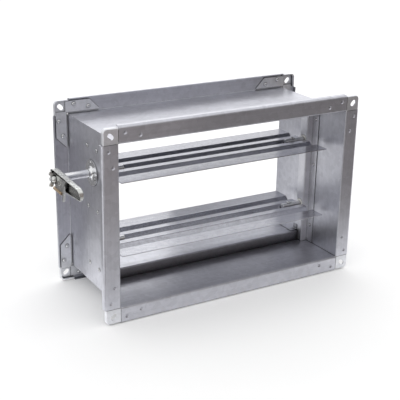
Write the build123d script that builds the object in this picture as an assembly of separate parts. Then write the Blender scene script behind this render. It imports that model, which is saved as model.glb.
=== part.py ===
from build123d import *
import math
import os

# Sizes in millimetres. X runs to the right, Y along the duct to the rear, Z up.
# The origin is the centre of the front opening, in the plane of the front flange.

# Duct section and casing sheet
clear_width = 500.0
clear_height = 315.0
casing_depth = 230.0
casing_sheet = 1.2

# Flange rolled along both ends of each casing side
flange_reach = 33.0
flange_lip = 12.0
lip_bend = 6.0
wall_bend = 2.6

# Stamped corner pieces
corner_sheet = 2.0
corner_square = 30.0
corner_round = 8.0
corner_lip = 9.0
corner_rim_round = 2.5
corner_leg = 65.0
leg_inner_edge = 4.2
leg_outer_edge = 26.0
leg_chamfer = 20.0
leg_under_square = 5.0
corner_gap = 0.9
slot_length = 14.0
slot_width = 8.5
dent_mouth = 3.6
dent_foot = 1.6
dent_depth = 1.8
dent_cup_radius = 3.4
dent_cup_foot = 2.4
dent_cup_depth = 1.4
dent_cup_gap = 0.1
dent_bump = 1.4
dent_bump_top = 2.7
dent_places = ((12.0, 20.0), (42.0, 12.0))

# Upright bearing channels
channel_sheet = 1.5
channel_height = 16.0
channel_crown = 24.0
channel_foot = 18.5
channel_bend = 2.0
rivet_heights_left = (120.0, 0.0, -118.0)
rivet_heights_right = (118.0, 20.0, -118.0)
rivet_radius = 2.0
rivet_head = 4.0
rivet_crown = 2.6
rivet_rise = 1.5

# Blades
blade_axis_height = 72.0
blade_half_chord = 84.0
blade_sheet = 1.5
blade_end_gap = 2.5
groove_places = (-38.0, 0.0, 37.0)
groove_depth = 7.5
groove_mouth = 11.5
groove_floor = 4.0
groove_bend = 1.6

# Stops that the closed blades lie against
stop_sheet = 1.5
stop_height = 21.5
stop_width = 20.0
stop_foot = 14.0
stop_bend = 2.0
bottom_stop_behind_axis = 1.0
top_stop_before_axis = 2.0
clip_sheet = 1.2
clip_length = 17.0
clip_rise = 12.0

# Shafts
shaft_radius = 6.0
shaft_fit = 0.06
shaft_flat = 5.5
shaft_overlap = 44.0
shaft_square = 8.4
thread_radius = 4.0
square_fit = 0.05

# Blade screws
screw_inset = 27.0
screw_radius = 2.5
screw_fit = 0.1
screw_seat = 5.0
screw_head_radius = 4.5
screw_head = 3.0
screw_tail = 5.5
screw_nut_flats = 8.0
screw_nut = 4.0

# Bushes
bush_radius = 8.0
bush_flange_radius = 10.0
bush_flange = 1.2
bush_length = 6.0
wall_bush_flange_radius = 11.0
wall_bush_flange = 2.0

# Stand-off on the left wall
wall_flange_radius = 25.0
wall_flange_sheet = 2.5
wall_flange_bell = 6.0
wall_flange_hub_wall = 1.0
wall_flange_rivet_circle = 19.0
sleeve_radius = 7.5
sleeve_reach = 64.5
wall_hole_clearance = 0.6
lock_gap = 0.3

# Hand lever and its lock
lever_length = 100.0
lever_hub_radius = 18.5
lever_tip_radius = 12.5
lever_sheet = 2.0
lever_press_round = 3.0
lever_rim_top = 14.0
lever_rim_bottom = 4.5
lever_rim_tip = 8.0
spacer_radius = 9.0
spacer_length = 5.5
lock_sheet = 2.0
lock_hub_radius = 11.5
lock_reach = 48.0
lock_top = 9.5
lock_front_foot = 33.0
lock_finger_drop = 34.0
lock_finger_width = 6.5
lock_finger_tip = 3.0
lock_fold = 2.0
peg_radius = 3.4
peg_drop = 20.0
peg_seat = 2.0
peg_rear = 6.0
peg_front = 30.0
wing_base_radius = 7.5
wing_base_top_radius = 5.6
wing_base = 7.5
wing_span = 15.5
wing_height = 12.0
wing_thickness = 3.0
wing_lobe = 4.5
wing_root = 2.5
lever_thread = 9.5

# Linkage on the right wall
crank_length = 40.0
crank_rest_angle = -44.5
crank_thickness = 4.0
crank_hub_radius = 13.0
crank_tip_radius = 9.0
crank_gap = 1.0
washer_radius = 8.0
washer_thickness = 1.6
nut_flats = 13.0
nut_height = 6.5
thread_past_nut = 2.2
pin_radius = 3.0
pin_collar_radius = 5.0
pin_collar = 0.8
pin_end = 3.0
rod_thickness = 3.0
rod_half_width = 8.0
rod_side_gap = 0.15
rod_fit = 0.05
open_pivot_fit = 0.5
ring_radius = 5.5
ring_thickness = 1.2

# Places worked out from the sizes above
half_width = clear_width / 2
half_height = clear_height / 2
axis_depth = casing_depth / 2
wall_outside = half_width + casing_sheet
crown_face = half_width - channel_height
blade_end = crown_face - blade_end_gap
shaft_inner_end = blade_end - shaft_overlap
blade_flat_level = groove_depth - shaft_flat - blade_sheet / 2
groove_underside = -shaft_flat - blade_sheet
screw_place = blade_end - screw_inset
rivet_offset = channel_crown / 2 + channel_foot / 2
shaft_bore = shaft_radius + shaft_fit
sleeve_end = wall_outside + sleeve_reach
lever_seat = sleeve_end + lock_gap
spacer_seat = lever_seat + lever_sheet
lock_seat = spacer_seat + spacer_length
wing_seat = lock_seat + lock_sheet
crank_seat = wall_outside + wall_bush_flange + crank_gap
washer_seat = crank_seat + crank_thickness
crank_nut_seat = washer_seat + washer_thickness
crank_angle = math.radians(crank_rest_angle)
crank_pin_depth = crank_length * math.cos(crank_angle)
crank_pin_rise = crank_length * math.sin(crank_angle)
rod_seat = washer_seat + pin_collar + rod_side_gap
ring_seat = rod_seat + rod_thickness + rod_side_gap

parts = {}


def folded(points, radius, thickness):
    """Section of a sheet folded along a line of points, each bend with its own centre-line radius."""
    radii = radius if isinstance(radius, (list, tuple)) else [radius] * (len(points) - 2)
    line = [Vector(x, y) for x, y in points]
    runs = [(b - a).normalized() for a, b in zip(line, line[1:])]
    edges = []
    caps = []
    for offset in (thickness / 2, -thickness / 2):
        sides = [Vector(-run.Y, run.X) * offset for run in runs]
        place = line[0] + sides[0]
        caps.append(place)
        for index, bend in enumerate(radii):
            before, after, corner = runs[index], runs[index + 1], line[index + 1]
            turn = math.atan2(before.X * after.Y - before.Y * after.X, before.dot(after))
            sign = math.copysign(1.0, turn)
            trim = bend * math.tan(abs(turn) / 2)
            centre = corner - before * trim + Vector(-before.Y, before.X) * (sign * bend)
            start = corner - before * trim + sides[index]
            end = corner + after * trim + sides[index + 1]
            middle = centre + (corner - centre).normalized() * (bend - sign * offset)
            edges += [Line(place, start), ThreePointArc(start, middle, end)]
            place = end
        last = line[-1] + sides[-1]
        edges.append(Line(place, last))
        caps.append(last)
    edges += [Line(caps[0], caps[2]), Line(caps[1], caps[3])]
    return make_face(edges)


def across(section, start, end):
    """Extrude a section drawn in Y and Z along X."""
    return extrude(Plane((start, 0, 0), x_dir=(0, 1, 0), z_dir=(1, 0, 0)) * section, end - start)


def upright(section, start, end):
    """Extrude a section drawn in X and Y along Z."""
    return extrude(Plane.XY.offset(start) * section, end - start)


def bar(start, end, radius, depth, height):
    """Round bar along X between two X places."""
    place = Plane((min(start, end), depth, height), x_dir=(0, 1, 0), z_dir=(1, 0, 0))
    return extrude(place * Circle(radius), abs(end - start))


def square_bar(start, end, side, depth, height):
    """Square bar along X between two X places."""
    place = Plane((min(start, end), depth, height), x_dir=(0, 1, 0), z_dir=(1, 0, 0))
    return extrude(place * Rectangle(side, side), abs(end - start))


def hexagon(start, end, flats, depth, height):
    """Hexagonal nut blank along X between two X places."""
    place = Plane((min(start, end), depth, height), x_dir=(0, 1, 0), z_dir=(1, 0, 0))
    return extrude(place * RegularPolygon(flats / 2, 6, major_radius=False), abs(end - start))


def taper(base, direction, foot, top, height):
    """Short cone frustum standing on a base point along a direction."""
    place = Plane(base, z_dir=direction)
    return place * Cone(foot, top, height, align=(Align.CENTER, Align.CENTER, Align.MIN))


def flanged_side(length, reach):
    """One casing side lying as the floor of the duct: its wall, both flanges and their lips."""
    centre = casing_sheet / 2
    out = -flange_reach + centre
    rear = casing_depth - centre
    points = [(flange_lip, out), (centre, out), (centre, -centre), (rear, -centre), (rear, out),
              (casing_depth - flange_lip, out)]
    section = folded(points, [lip_bend, wall_bend, wall_bend, lip_bend], casing_sheet)
    side = across(section, -length / 2, length / 2)
    if reach:
        seam = wall_bend + 2 * casing_sheet
        for end in (-1, 1):
            lap = Box(casing_sheet, casing_depth - 2 * seam, casing_sheet)
            side += Pos(end * (length + casing_sheet) / 2, casing_depth / 2, -centre) * lap
    for along, out_from_wall in dent_places:
        for end in (-1, 1):
            for face, inward in ((0, 1), (casing_depth, -1)):
                place = (end * (length / 2 - along), face, -out_from_wall)
                side = crimp_dent(side, place, inward)
    return side


def crimp_dent(side, place, inward):
    """Press one dent into a flange: a cup behind the sheet, hollow from the front."""
    x_place, face, height = place
    direction = (0, inward, 0)
    back = (x_place, face + inward * casing_sheet, height)
    side += taper(back, direction, dent_cup_radius, dent_cup_foot, dent_cup_depth)
    return side - taper(place, direction, dent_mouth, dent_foot, dent_depth)


def casing():
    """Four sides turned round the clear section; top and bottom lap over the ends of the side walls."""
    floor = flanged_side(clear_width, True)
    wall = flanged_side(clear_height, False)
    parts["casing_bottom"] = Pos(0, 0, -half_height) * floor
    parts["casing_top"] = Pos(0, 0, half_height) * Rot(0, 180, 0) * floor
    left = Pos(-half_width, 0, 0) * Rot(0, 90, 0) * wall
    right = Pos(half_width, 0, 0) * Rot(0, -90, 0) * wall
    height = blade_axis_height
    left -= bar(-wall_outside - 1, -half_width + 1, shaft_radius + wall_hole_clearance, axis_depth, height)
    for axis in (-height, height):
        right -= bar(half_width - 1, wall_outside + 1, bush_radius, axis_depth, axis)
    for x_place, wall_rivets in ((-1, rivet_heights_left), (1, rivet_heights_right)):
        holes = [bar(x_place * (half_width - 1), x_place * (wall_outside + 1), rivet_radius, depth, rivet_height)
                 for depth in (axis_depth - rivet_offset, axis_depth + rivet_offset) for rivet_height in wall_rivets]
        if x_place < 0:
            left -= holes + wall_flange_holes()
        else:
            right -= holes
    parts["casing_left"] = left
    parts["casing_right"] = right


def wall_flange_places():
    """Depth and height of the three rivets round the stand-off."""
    angles = [math.radians(angle) for angle in (90, 210, 330)]
    circle = wall_flange_rivet_circle
    return [(axis_depth + circle * math.cos(a), blade_axis_height + circle * math.sin(a)) for a in angles]


def wall_flange_holes():
    """Rivet holes through the left wall and the wall flange."""
    outside = -wall_outside - wall_flange_sheet - 1
    return [bar(outside, -half_width + 1, rivet_radius, depth, height) for depth, height in wall_flange_places()]


def corner_leg_plate():
    """One leg of a corner piece, running from under the square along the flange."""
    start = corner_gap + leg_under_square
    outline = Polyline((start, leg_inner_edge), (start, leg_outer_edge), (leg_chamfer - corner_leg, leg_outer_edge),
                       (-corner_leg, leg_outer_edge - leg_chamfer), (-corner_leg, leg_inner_edge), close=True)
    leg = extrude(make_face(outline), corner_sheet)
    for along, out_from_wall in dent_places:
        leg += taper((-along, out_from_wall, corner_sheet), (0, 0, 1), dent_cup_radius, dent_bump_top, dent_bump)
        leg -= taper((-along, out_from_wall, 0), (0, 0, 1), dent_cup_radius + dent_cup_gap,
                     dent_cup_foot + dent_cup_gap, dent_cup_depth + dent_cup_gap)
    return leg


def corner_piece():
    """Corner piece lying flat: the square points to +X +Y, its face at zero and its legs one sheet behind."""
    middle = (corner_gap + corner_square) / 2
    square = Pos(middle, middle) * Rectangle(corner_square - corner_gap, corner_square - corner_gap)
    tip = square.vertices().sort_by(Axis((0, 0, 0), (1, 1, 0)))[-1]
    square = fillet(tip, corner_round)
    slot = Pos(middle, middle) * Rot(0, 0, 45) * SlotOverall(slot_length, slot_width)
    piece = extrude(square - slot, corner_sheet)
    rim = square - Pos(-corner_sheet, -corner_sheet) * square
    inner_edges = Pos(-corner_square, 0) * Rectangle(2 * corner_square, 4 * corner_square)
    piece += extrude(rim - inner_edges, corner_lip)
    piece = fillet(outer_face_edges(piece), corner_rim_round)
    leg = Pos(0, 0, casing_sheet) * corner_leg_plate()
    piece += leg
    piece += mirror(leg, about=Plane((0, 0, 0), z_dir=(1, -1, 0)))
    return piece


def outer_face_edges(piece):
    """Edges of the square's face along its two outer sides and the round between them."""
    near = corner_square - corner_sheet
    face_edges = piece.edges().filter_by_position(Axis.Z, 0, 0)
    return face_edges.filter_by(lambda edge: max((edge @ 0.5).X, (edge @ 0.5).Y) > near)


def corners():
    """Eight corner pieces at the ends of the flanges."""
    front = Plane((half_width, 0, half_height), x_dir=(1, 0, 0), z_dir=(0, 1, 0))
    piece = corner_piece()
    upper_right = mirror(front * piece, about=Plane.XY)
    upper_right = Pos(0, 0, 2 * half_height) * upper_right
    lower_right = mirror(upper_right, about=Plane.XY)
    for name, right in (("top", upper_right), ("bottom", lower_right)):
        for side, shape in (("right", right), ("left", mirror(right, about=Plane.YZ))):
            parts[f"corner_front_{name}_{side}"] = shape
            parts[f"corner_rear_{name}_{side}"] = mirror(shape, about=Plane.XZ.offset(-casing_depth / 2))


def channels():
    """Upright hat-shaped channels that carry the blade bushes, riveted to the side walls."""
    half_crown = channel_crown / 2
    centre = channel_sheet / 2
    foot = half_width - centre
    crown = crown_face + centre
    edge = half_crown + channel_foot
    web = half_crown - centre
    points = [(foot, axis_depth - edge), (foot, axis_depth - web), (crown, axis_depth - web),
              (crown, axis_depth + web), (foot, axis_depth + web), (foot, axis_depth + edge)]
    plain = upright(folded(points, channel_bend, channel_sheet), -half_height, half_height)
    for axis in (-blade_axis_height, blade_axis_height):
        plain -= bar(crown_face - 1, crown + 1, bush_radius, axis_depth, axis)
    for name, mirrored, heights in (("left", True, rivet_heights_left), ("right", False, rivet_heights_right)):
        shape = plain
        rivets = []
        for depth in (axis_depth - rivet_offset, axis_depth + rivet_offset):
            for height in heights:
                shape -= bar(foot - 2, half_width + 1, rivet_radius, depth, height)
                rivets.append(rivet(depth, height))
        group = Compound(children=rivets)
        parts[f"channel_{name}"] = mirror(shape, about=Plane.YZ) if mirrored else shape
        parts[f"channel_rivets_{name}"] = mirror(group, about=Plane.YZ) if mirrored else group


def rivet(depth, height):
    """Rivet through the right wall and the foot of its channel, headed on both sides."""
    inside = half_width - channel_sheet
    body = bar(inside, wall_outside, rivet_radius, depth, height)
    body += taper((wall_outside, depth, height), (1, 0, 0), rivet_head, rivet_crown, rivet_rise)
    body += taper((inside, depth, height), (-1, 0, 0), rivet_head, rivet_crown, rivet_rise)
    return body


def stop_rail(before, length):
    """Folded stop standing on the floor, its upright face at the given depth."""
    centre = stop_sheet / 2
    face = before + centre
    top = stop_height - centre
    back = before + stop_width - centre
    points = [(face, 0), (face, top), (back, top), (back, centre), (back + stop_foot, centre)]
    return across(folded(points, stop_bend, stop_sheet), -length / 2, length / 2)


def stop_clip(before):
    """Angle clip from the right end of a stop up the crown of the channel."""
    centre = clip_sheet / 2
    points = [(crown_face - clip_length, stop_height + centre), (crown_face - centre, stop_height + centre),
              (crown_face - centre, stop_height + clip_rise)]
    section = Plane((0, before + stop_bend + stop_sheet, 0), x_dir=(1, 0, 0), z_dir=(0, -1, 0)) * folded(
        points, stop_bend, clip_sheet)
    return extrude(section, -(stop_width - 2 * (stop_bend + stop_sheet)))


def stops():
    """Stops on the floor behind the blades and on the ceiling before them, with a clip at each end."""
    floor = Pos(0, 0, -half_height)
    ceiling = Pos(0, 2 * axis_depth, half_height) * Rot(180, 0, 0)
    for name, place, before in (("bottom", floor, axis_depth + bottom_stop_behind_axis),
                                ("top", ceiling, axis_depth + top_stop_before_axis)):
        parts[f"stop_{name}"] = place * stop_rail(before, 2 * crown_face)
        clip = place * stop_clip(before)
        parts[f"stop_clip_{name}_right"] = clip
        parts[f"stop_clip_{name}_left"] = mirror(clip, about=Plane.YZ)


def blade():
    """Triple-groove blade, its turning axis along X through the origin of its section."""
    flat = blade_flat_level
    low = flat - groove_depth
    points = [(-blade_half_chord, flat)]
    for place in groove_places:
        points += [(place - groove_mouth, flat), (place - groove_floor, low), (place + groove_floor, low),
                   (place + groove_mouth, flat)]
    points.append((blade_half_chord, flat))
    shape = across(folded(points, groove_bend, blade_sheet), -blade_end, blade_end)
    for end in (-1, 1):
        shape -= Pos(end * screw_place, 0, low) * Cylinder(screw_radius + screw_fit, 3 * blade_sheet)
    return shape


def stub_in_blade():
    """Inner end of a right-hand stub: flat below on the groove, flat seat and hole for its screw."""
    body = bar(shaft_inner_end, blade_end, shaft_radius, 0, 0)
    body -= Pos((shaft_inner_end + blade_end) / 2, 0, -shaft_flat - shaft_radius) * Box(
        shaft_overlap + 1, 3 * shaft_radius, 2 * shaft_radius)
    body -= Pos(screw_place, 0, screw_seat + shaft_radius) * Box(
        2 * screw_head_radius + 2, 3 * shaft_radius, 2 * shaft_radius)
    return body - Pos(screw_place, 0, 0) * Cylinder(screw_radius + screw_fit, 4 * shaft_radius)


def drive_end(seat, square_end, thread_end):
    """Outer end of a stub from the blade on: round, then square, then the thread."""
    body = bar(blade_end, seat, shaft_radius, 0, 0)
    body += square_bar(seat, square_end, shaft_square, 0, 0)
    return body + bar(square_end, thread_end, thread_radius, 0, 0)


def blade_set(name, height):
    """One blade with its stubs, screws and nuts on an axis at the given height."""
    place = Pos(0, axis_depth, height)
    parts[f"{name}_blade"] = place * blade()
    inner = stub_in_blade()
    right = inner + drive_end(crank_seat, washer_seat, crank_nut_seat + nut_height + thread_past_nut)
    if name == "upper":
        left = inner + drive_end(lever_seat, lock_seat + lock_sheet, wing_seat + lever_thread)
    else:
        left = inner + bar(blade_end, half_width - shaft_radius, shaft_radius, 0, 0)
    parts[f"{name}_stub_right"] = place * right
    parts[f"{name}_stub_left"] = place * mirror(left, about=Plane.YZ)
    screws = []
    nuts = []
    for end in (-1, 1):
        shank_length = screw_seat - groove_underside + screw_tail
        shank = Pos(0, 0, screw_seat - shank_length / 2) * Cylinder(screw_radius, shank_length)
        head = Pos(0, 0, screw_seat + screw_head / 2) * Cylinder(screw_head_radius, screw_head)
        at_screw = place * Pos(end * screw_place, 0, 0)
        screws.append(at_screw * (shank + head))
        blank = Pos(0, 0, groove_underside) * extrude(RegularPolygon(screw_nut_flats / 2, 6, major_radius=False),
                                                      -screw_nut)
        nuts.append(at_screw * (blank - shank))
    parts[f"{name}_blade_screws"] = Compound(children=screws)
    parts[f"{name}_blade_nuts"] = Compound(children=nuts)


def bushes():
    """Flanged bushes in both channels, and in the right wall where the stubs pass out to the linkage."""
    for name, height in (("upper", blade_axis_height), ("lower", -blade_axis_height)):
        inner = bar(crown_face - bush_flange, crown_face, bush_flange_radius, axis_depth, height)
        inner += bar(crown_face, crown_face + bush_length, bush_radius, axis_depth, height)
        inner -= bar(crown_face - 2 * bush_flange, crown_face + 2 * bush_length, shaft_bore, axis_depth, height)
        parts[f"channel_bush_{name}_right"] = inner
        parts[f"channel_bush_{name}_left"] = mirror(inner, about=Plane.YZ)
        outer = bar(wall_outside, wall_outside + wall_bush_flange, wall_bush_flange_radius, axis_depth, height)
        outer += bar(half_width - channel_sheet, wall_outside, bush_radius, axis_depth, height)
        outer -= bar(half_width - 4, wall_outside + 4, shaft_bore, axis_depth, height)
        parts[f"wall_bush_{name}"] = outer


def stand_off():
    """Round flange riveted to the left wall and the sleeve that carries the lever clear of it."""
    height = blade_axis_height
    face = -wall_outside - wall_flange_sheet
    parts["wall_flange"] = bell_flange() - wall_flange_holes()
    sleeve = bar(-sleeve_end, -wall_outside, sleeve_radius, axis_depth, height)
    parts["stand_off_sleeve"] = sleeve - bar(-sleeve_end - 1, -half_width, shaft_bore, axis_depth, height)
    rivets = []
    for depth, rivet_height in wall_flange_places():
        body = bar(face, -half_width, rivet_radius, depth, rivet_height)
        rivets.append(body + taper((face, depth, rivet_height), (-1, 0, 0), rivet_head, rivet_crown, rivet_rise))
    parts["wall_flange_rivets"] = Compound(children=rivets)


def bell_flange():
    """Round flange turned about the shaft, its hub flared like a bell from the plate to the sleeve."""
    plate = wall_flange_sheet
    hub = sleeve_radius + wall_flange_hub_wall
    top = plate + wall_flange_bell
    foot = hub + wall_flange_bell
    outline = Polyline((hub, top), (sleeve_radius, top), (sleeve_radius, 0), (wall_flange_radius, 0),
                       (wall_flange_radius, plate), (foot, plate))
    flare = CenterArc((foot, top), wall_flange_bell, 180, 90)
    spin = Plane((-wall_outside, axis_depth, blade_axis_height), x_dir=(0, 1, 0), z_dir=(0, 0, 1))
    return revolve(spin * make_face(outline.edges() + flare.edges()), Axis(spin.origin, (1, 0, 0)))


def lever_outline(margin):
    """Outline of the lever seen from the left, its hub at zero and its tip towards +X of the sketch."""
    hub = lever_hub_radius - margin
    tip = lever_tip_radius - margin
    return make_hull((Circle(hub).edges() + (Pos(lever_length, 0) * Circle(tip)).edges()))


def lever_rim_plane():
    """Slanting plane of the lever's rim: deep over the hub's upper side, shallow below, between them at the tip."""
    upper = Vector(0, lever_hub_radius, lever_rim_top)
    lower = Vector(0, -lever_hub_radius, lever_rim_bottom)
    tip = Vector(lever_length, 0, lever_rim_tip)
    return Plane(upper, z_dir=(lower - upper).cross(tip - upper))


def lever():
    """Hand lever: a pressed tray, its floor square-holed on the shaft and its rim outward."""
    out = Plane((-lever_seat, axis_depth, blade_axis_height), x_dir=(0, -1, 0), z_dir=(-1, 0, 0))
    blank = lever_rim_top + lever_sheet
    tray = extrude(lever_outline(0), blank)
    tray = fillet(tray.edges().filter_by_position(Axis.Z, 0, 0), lever_press_round)
    hollow = extrude(Plane.XY.offset(lever_sheet) * lever_outline(lever_sheet), blank)
    tray -= fillet(hollow.edges().filter_by_position(Axis.Z, lever_sheet, lever_sheet),
                   lever_press_round - lever_sheet)
    tray = out * split(tray, lever_rim_plane(), keep=Keep.BOTTOM)
    side = shaft_square + 2 * square_fit
    parts["hand_lever"] = tray - square_bar(-lever_seat + 1, -spacer_seat - 1, side, axis_depth, blade_axis_height)
    tube = bar(-spacer_seat, -lock_seat, spacer_radius, axis_depth, blade_axis_height)
    parts["lever_spacer"] = tube - bar(-spacer_seat + 1, -lock_seat - 1, shaft_radius, axis_depth, blade_axis_height)


def lock():
    """Lock plate with its finger, the brass peg along its lower edge and the wing nut on the shaft's thread."""
    out = Plane((-lock_seat, axis_depth, blade_axis_height), x_dir=(0, -1, 0), z_dir=(-1, 0, 0))
    edge = peg_seat - peg_drop
    front = lock_front_foot + lock_finger_width
    tip = lock_front_foot + lock_finger_tip
    outline = Polyline((0, lock_top), (lock_reach, lock_top), (front, edge), (tip, -lock_finger_drop),
                       (lock_front_foot, -lock_finger_drop), (lock_front_foot, edge), (0, edge), close=True)
    plate = extrude(out * make_face(outline), lock_sheet)
    fold = Polyline((lock_reach, lock_top), (front, edge), (tip, -lock_finger_drop),
                    (tip - lock_sheet, -lock_finger_drop), (front - lock_sheet, edge),
                    (lock_reach - lock_sheet, lock_top), close=True)
    plate += extrude(out * make_face(fold), -lock_fold)
    plate += extrude(out * Circle(lock_hub_radius), lock_sheet)
    peg_line = Plane((-lock_seat - lock_sheet / 2, axis_depth + peg_rear, blade_axis_height - peg_drop),
                     x_dir=(1, 0, 0), z_dir=(0, -1, 0))
    peg = extrude(peg_line * Circle(peg_radius), peg_rear + peg_front)
    plate -= peg
    side = shaft_square + 2 * square_fit
    plate -= square_bar(-lock_seat + 1, -wing_seat - 1, side, axis_depth, blade_axis_height)
    parts["lock_plate"] = plate
    parts["lock_peg"] = peg
    parts["wing_nut"] = wing_nut()


def wing_nut():
    """Wing nut: a tapered base with two upright lobed wings."""
    base = taper((-wing_seat, axis_depth, blade_axis_height), (-1, 0, 0), wing_base_radius, wing_base_top_radius,
                 wing_base)
    side_view = Plane((-wing_seat, axis_depth - wing_thickness / 2, blade_axis_height), x_dir=(-1, 0, 0),
                      z_dir=(0, 1, 0))
    wings = []
    for end in (-1, 1):
        root = (Pos(wing_base / 2, end * wing_base_radius / 2) * Circle(wing_root)).edges()
        lobe = (Pos(wing_height - wing_lobe, end * (wing_span - wing_lobe)) * Circle(wing_lobe)).edges()
        wings.append(extrude(side_view * make_hull(root + lobe), wing_thickness))
    nut = base + wings
    return nut - bar(-wing_seat + 1, -wing_seat - 2 * wing_base, thread_radius, axis_depth, blade_axis_height)


def linkage():
    """Crank arms on the right-hand stubs, their pins and rings, and the tie rod between them."""
    rod_ends = []
    for name, height in (("upper", blade_axis_height), ("lower", -blade_axis_height)):
        depth = axis_depth + crank_pin_depth
        pin_height = height + crank_pin_rise
        face = Plane((crank_seat, axis_depth, height), x_dir=(0, 1, 0), z_dir=(1, 0, 0))
        tip = Pos(crank_pin_depth, crank_pin_rise) * Circle(crank_tip_radius)
        arm = extrude(face * make_hull(Circle(crank_hub_radius).edges() + tip.edges()), crank_thickness)
        arm -= square_bar(crank_seat - 1, washer_seat + 1, shaft_square + 2 * square_fit, axis_depth, height)
        parts[f"{name}_crank"] = arm - bar(crank_seat - 1, washer_seat + 1, pin_radius, depth, pin_height)
        washer = bar(washer_seat, crank_nut_seat, washer_radius, axis_depth, height)
        parts[f"{name}_crank_washer"] = washer - bar(crank_seat, crank_nut_seat + 1, thread_radius, axis_depth, height)
        nut = hexagon(crank_nut_seat, crank_nut_seat + nut_height, nut_flats, axis_depth, height)
        parts[f"{name}_crank_nut"] = nut - bar(washer_seat, crank_nut_seat + 9, thread_radius, axis_depth, height)
        pin_tip = ring_seat + ring_thickness + pin_end
        pin = bar(crank_seat, pin_tip, pin_radius, depth, pin_height)
        parts[f"{name}_crank_pin"] = pin + bar(washer_seat, washer_seat + pin_collar, pin_collar_radius, depth,
                                               pin_height)
        ring = bar(ring_seat, ring_seat + ring_thickness, ring_radius, depth, pin_height)
        parts[f"{name}_pin_ring"] = ring - bar(ring_seat - 1, pin_tip, pin_radius, depth, pin_height)
        rod_ends.append((depth, pin_height))
    upper, lower = rod_ends
    face = Plane((rod_seat, 0, 0), x_dir=(0, 1, 0), z_dir=(1, 0, 0))
    ends = [(Pos(*place) * Circle(rod_half_width)).edges() for place in rod_ends]
    rod = extrude(face * make_hull(ends[0] + ends[1]), rod_thickness)
    rod -= bar(rod_seat - 1, ring_seat + 1, pin_radius + rod_fit, *upper)
    parts["tie_rod"] = rod - bar(rod_seat - 1, ring_seat + 1, pin_radius + open_pivot_fit, *lower)


casing()
corners()
channels()
stops()
blade_set("upper", blade_axis_height)
blade_set("lower", -blade_axis_height)
bushes()
stand_off()
lever()
lock()
linkage()

os.makedirs("parts", exist_ok=True)
for node, shape in parts.items():
    export_step(shape, f"parts/{node}.step")
print(len(parts), "nodes")
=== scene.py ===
# %% [markdown]
# # Two-blade duct damper in galvanised sheet
# The object is a short rectangular duct with a bolt flange at each end, two blades that turn
# together inside it and a hand lever on its left wall. Its solid pieces are loaded at their real
# size and are never moved. This lesson gives them finishes, light and a camera, and it makes the
# small pieces whose surfaces are finer than the solids: rivets, screws, nuts, threads, the wing nut.

# %% Load the damper
import math

import bpy
import numpy as np
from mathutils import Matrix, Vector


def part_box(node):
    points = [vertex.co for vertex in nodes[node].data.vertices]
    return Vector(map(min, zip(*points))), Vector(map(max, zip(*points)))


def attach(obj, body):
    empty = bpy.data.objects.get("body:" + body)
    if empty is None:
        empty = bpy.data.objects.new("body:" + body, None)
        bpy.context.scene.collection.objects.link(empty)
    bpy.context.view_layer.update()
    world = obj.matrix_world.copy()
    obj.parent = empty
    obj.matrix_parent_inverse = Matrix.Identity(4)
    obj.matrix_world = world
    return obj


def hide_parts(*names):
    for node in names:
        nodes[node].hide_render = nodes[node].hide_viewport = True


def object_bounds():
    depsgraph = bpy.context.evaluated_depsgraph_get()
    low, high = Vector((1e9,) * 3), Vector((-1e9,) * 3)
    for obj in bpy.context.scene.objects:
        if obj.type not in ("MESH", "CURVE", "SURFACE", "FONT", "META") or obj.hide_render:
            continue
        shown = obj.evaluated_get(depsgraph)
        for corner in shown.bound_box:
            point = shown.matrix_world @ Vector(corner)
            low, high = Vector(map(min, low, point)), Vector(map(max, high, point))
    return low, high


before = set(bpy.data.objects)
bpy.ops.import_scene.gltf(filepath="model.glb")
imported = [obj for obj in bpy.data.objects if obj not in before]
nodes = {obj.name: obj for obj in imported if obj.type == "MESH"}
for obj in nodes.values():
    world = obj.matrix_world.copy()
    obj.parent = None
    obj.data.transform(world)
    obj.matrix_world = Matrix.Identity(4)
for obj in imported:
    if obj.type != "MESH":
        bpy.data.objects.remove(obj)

solid_box = [list(corner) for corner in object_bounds()]
print("solid pieces:", len(nodes), "box in metres:", solid_box)

# %% [markdown]
# ## Camera
# The picture looks down on the damper from its front left. A camera could be aimed with a
# constraint, but here its axes are worked out from three angles, so each angle can be read and
# changed by itself. The lens is long, because the far flange is hardly smaller than the near one.

# %% Camera
view_yaw = math.radians(30.55)
view_pitch = math.radians(-20.195)
view_roll = math.radians(0.997)
eye = np.array([-0.90359, -1.38691, 0.61916])
lens_mm = 82.725
sensor_mm = 36.0


def camera_axes(yaw, pitch, roll):
    """Right, up and backward axes: forward comes from yaw and pitch, then the roll turns right and up."""
    forward = np.array([math.sin(yaw) * math.cos(pitch), math.cos(yaw) * math.cos(pitch), math.sin(pitch)])
    level = np.array([math.cos(yaw), -math.sin(yaw), 0.0])
    upward = np.cross(level, forward)
    right = math.cos(roll) * level + math.sin(roll) * upward
    return np.column_stack([right, np.cross(right, forward), -forward])


def put_in_scene(item, axes, place):
    """Link an object to the scene, turned to its axes and moved to its place."""
    bpy.context.scene.collection.objects.link(item)
    placing = np.eye(4)
    placing[:3, :3] = axes
    placing[:3, 3] = place
    item.matrix_world = placing.T


camera = bpy.data.objects.new("camera", bpy.data.cameras.new("camera"))
camera.data.lens = lens_mm
camera.data.sensor_width = sensor_mm
put_in_scene(camera, camera_axes(view_yaw, view_pitch, view_roll), eye)
bpy.context.scene.camera = camera
bpy.context.scene.view_settings.view_transform = "Standard"
print("camera", lens_mm, "mm lens at", eye)

# %% [markdown]
# ## Studio
# Bare metal shows mostly what stands around it. The studio is white all round, as on a paper sweep,
# so a colour renders about as it is written and the floor stays white with a soft shadow. In an
# all-white room, though, metal has no form. Grey cards, as photographers use them, show in the metal
# alone and darken the faces that look forward and left. A white card lightens the foot of the left
# wall, and a wide lamp behind the damper brightens the faces that look up.


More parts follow.
